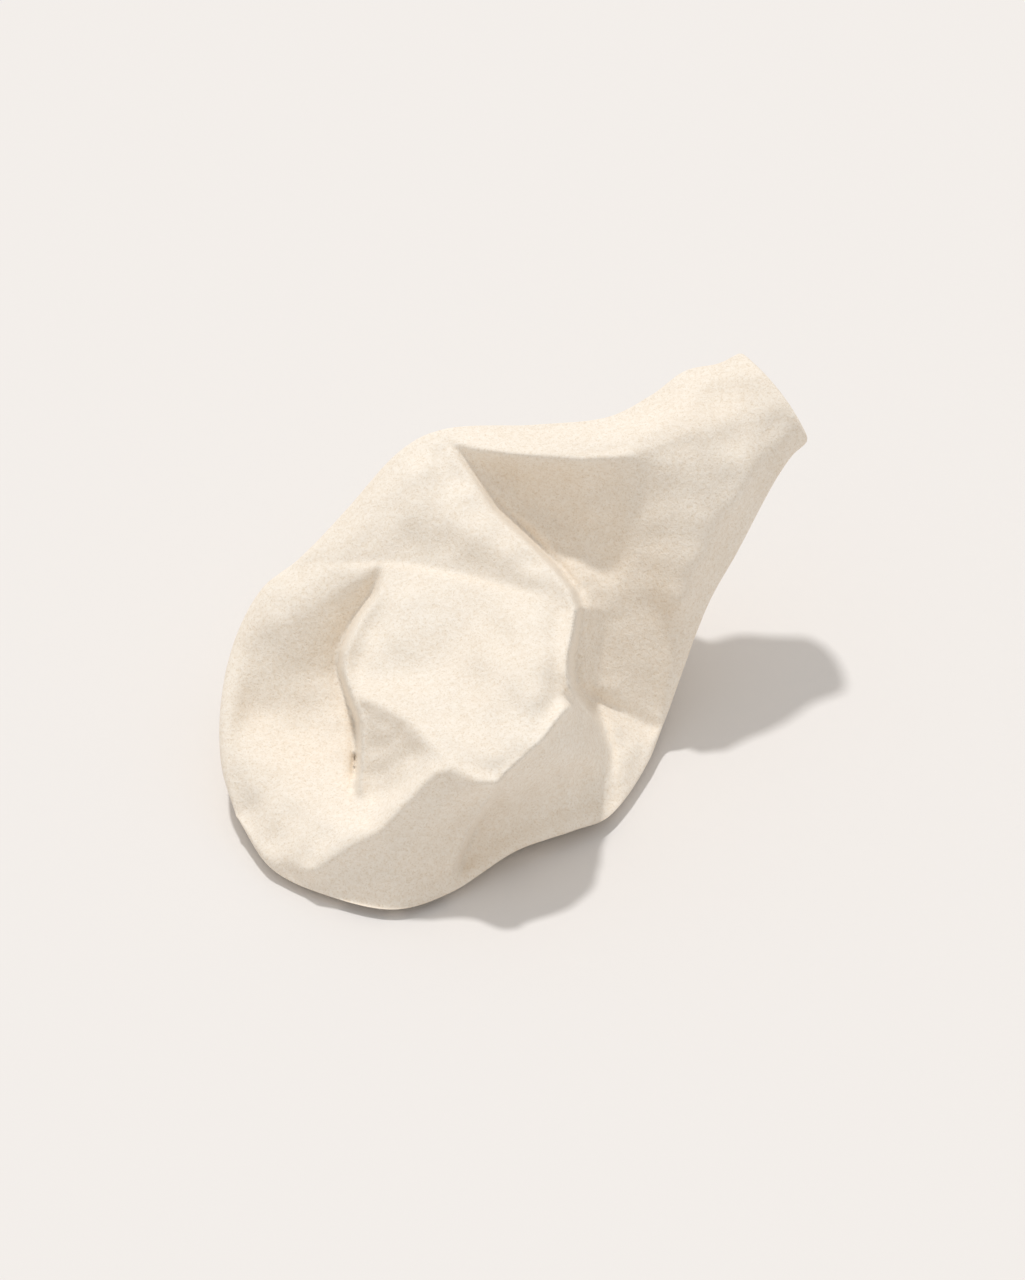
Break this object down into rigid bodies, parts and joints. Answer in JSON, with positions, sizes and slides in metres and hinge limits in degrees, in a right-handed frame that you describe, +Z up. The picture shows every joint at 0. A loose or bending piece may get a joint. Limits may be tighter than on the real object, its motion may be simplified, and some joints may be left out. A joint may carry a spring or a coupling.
{
  "type": "vase",
  "caption": "Hand-formed vase shaped like a crumpled, folded pouch in matte clay, lying back on a flat foot with its short open neck raised to one side.",
  "frame": {"origin": "middle of the outline box seen from above, on the floor under the felt pads", "axes": "+X to the viewer's right, from the closed end toward the mouth; +Y away from the viewer; +Z up"},
  "size_m": [0.2124, 0.1898, 0.112],
  "materials": {
    "clay": "matte, fine grogged grain, unglazed",
    "glaze": "satin clear glaze",
    "felt": "pressed wool felt"
  },
  "bodies": {
    "root": {"vessel_body": "clay", "liner_glaze": "glaze", "felt_pad_left": "felt", "felt_pad_front": "felt", "felt_pad_right": "felt", "felt_pad_back": "felt"}
  },
  "joints": []
}
